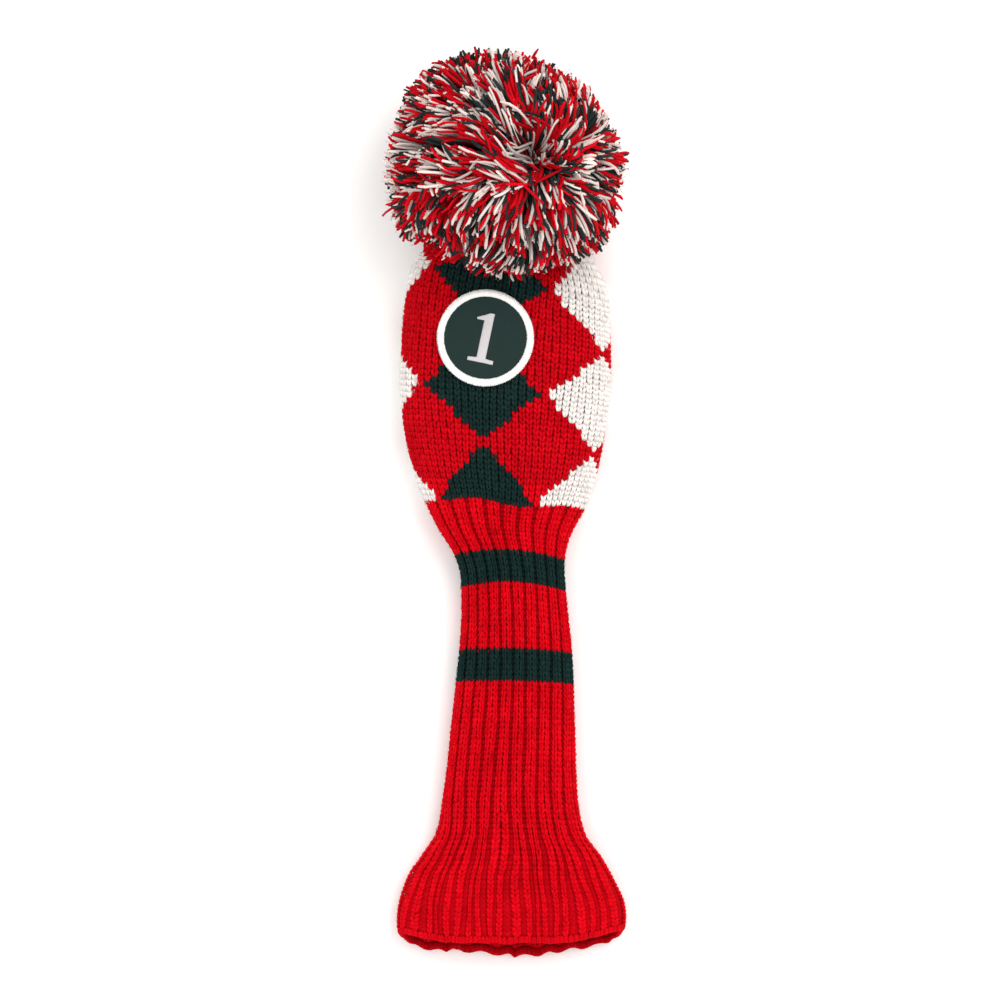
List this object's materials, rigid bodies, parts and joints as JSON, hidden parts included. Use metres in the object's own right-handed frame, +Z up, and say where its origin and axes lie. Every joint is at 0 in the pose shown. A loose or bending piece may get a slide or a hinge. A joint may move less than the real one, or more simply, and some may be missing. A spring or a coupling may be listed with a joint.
{
  "type": "knitted golf driver head cover",
  "caption": "Long knitted sock cover for a golf driver: argyle head with a round badge, striped ribbed neck, flared cuff and a yarn pom-pom.",
  "frame": {"origin": "centre of the bounding box's bottom face, on the resting plane", "axes": "+Y from the cuff's mouth to the pom-pom, +X to the right seen from above with the badge upright, +Z up through the badge"},
  "size_m": [0.118, 0.45, 0.1085],
  "materials": {
    "red_knit": "matte knitted acrylic yarn",
    "green_knit": "matte knitted acrylic yarn",
    "white_knit": "matte knitted acrylic yarn",
    "red_yarn": "cut yarn strands",
    "white_yarn": "cut yarn strands",
    "green_yarn": "cut yarn strands",
    "cord": "twisted cord",
    "button": "matte",
    "lining": "thin knitted lining",
    "backing": "stiff non-woven",
    "twill": "satin-faced twill",
    "merrow": "overlocked rayon thread",
    "embroidery": "satin stitch",
    "elastic": "covered elastic"
  },
  "bodies": {
    "head": {"head_knit_red": "red_knit", "head_diamonds_green": "green_knit", "head_diamonds_white": "white_knit", "crown_knit": "red_knit", "crown_gather_cord": "red_knit", "crown_button": "button", "pom_anchor_cord": "cord", "head_liner": "lining", "liner_hem": "lining", "patch_backing": "backing", "patch_twill": "twill", "patch_border": "merrow", "patch_numeral": "embroidery"},
    "pom_tie": {"pom_tie_knot": "cord"},
    "pom": {"pom_tie_cord": "cord", "pom_binding": "cord", "pom_yarn_red": "red_yarn", "pom_yarn_white": "white_yarn", "pom_yarn_green": "green_yarn"},
    "neck_top": {"neck_rib_upper": "red_knit"},
    "neck_band_1": {"neck_stripe_upper": "green_knit"},
    "neck_mid": {"neck_rib_middle": "red_knit", "neck_elastic": "elastic"},
    "neck_band_2": {"neck_stripe_lower": "green_knit"},
    "neck_low": {"neck_rib_lower": "red_knit"},
    "cuff": {"cuff_rib": "red_knit", "cuff_bind_off": "red_knit"}
  },
  "joints": [
    {"name": "pom_sway", "type": "hinge", "parent": "head", "child": "pom_tie", "pos_m": [0, 0.142, 0.027], "axis": [0, 0, 1], "range_deg": [-20, 20], "stiffness_Nm_per_rad": 0.05},
    {"name": "pom_nod", "type": "hinge", "parent": "pom_tie", "child": "pom", "pos_m": [0, 0.142, 0.027], "axis": [1, 0, 0], "range_deg": [-10, 20], "stiffness_Nm_per_rad": 1.5},
    {"name": "neck_fold_1", "type": "hinge", "parent": "head", "child": "neck_top", "pos_m": [-0.0024, -0.0025, 0.0155], "axis": [-1, 0, 0], "range_deg": [-25, 25], "stiffness_Nm_per_rad": 0.3},
    {"name": "neck_sway_1", "type": "hinge", "parent": "neck_top", "child": "neck_band_1", "pos_m": [0.0004, -0.029, 0.0139], "axis": [0, 0, 1], "range_deg": [-12, 12], "stiffness_Nm_per_rad": 0.1},
    {"name": "neck_fold_2", "type": "hinge", "parent": "neck_band_1", "child": "neck_mid", "pos_m": [0.0022, -0.0453, 0.0135], "axis": [-1, 0, 0], "range_deg": [-25, 25], "stiffness_Nm_per_rad": 0.3},
    {"name": "neck_sway_2", "type": "hinge", "parent": "neck_mid", "child": "neck_band_2", "pos_m": [0.0032, -0.076, 0.0132], "axis": [0, 0, 1], "range_deg": [-12, 12], "stiffness_Nm_per_rad": 0.1},
    {"name": "neck_fold_3", "type": "hinge", "parent": "neck_band_2", "child": "neck_low", "pos_m": [0.0026, -0.0923, 0.0131], "axis": [-1, 0, 0], "range_deg": [-25, 25], "stiffness_Nm_per_rad": 0.3},
    {"name": "cuff_fold", "type": "hinge", "parent": "neck_low", "child": "cuff", "pos_m": [0.0015, -0.17, 0.0117], "axis": [-1, 0, 0], "range_deg": [-30, 30], "stiffness_Nm_per_rad": 0.3}
  ],
  "couplings": [
    {"joint": "neck_fold_2", "follows": "neck_fold_1", "ratio": 1},
    {"joint": "neck_fold_3", "follows": "neck_fold_1", "ratio": 1},
    {"joint": "neck_sway_2", "follows": "neck_sway_1", "ratio": 1}
  ]
}
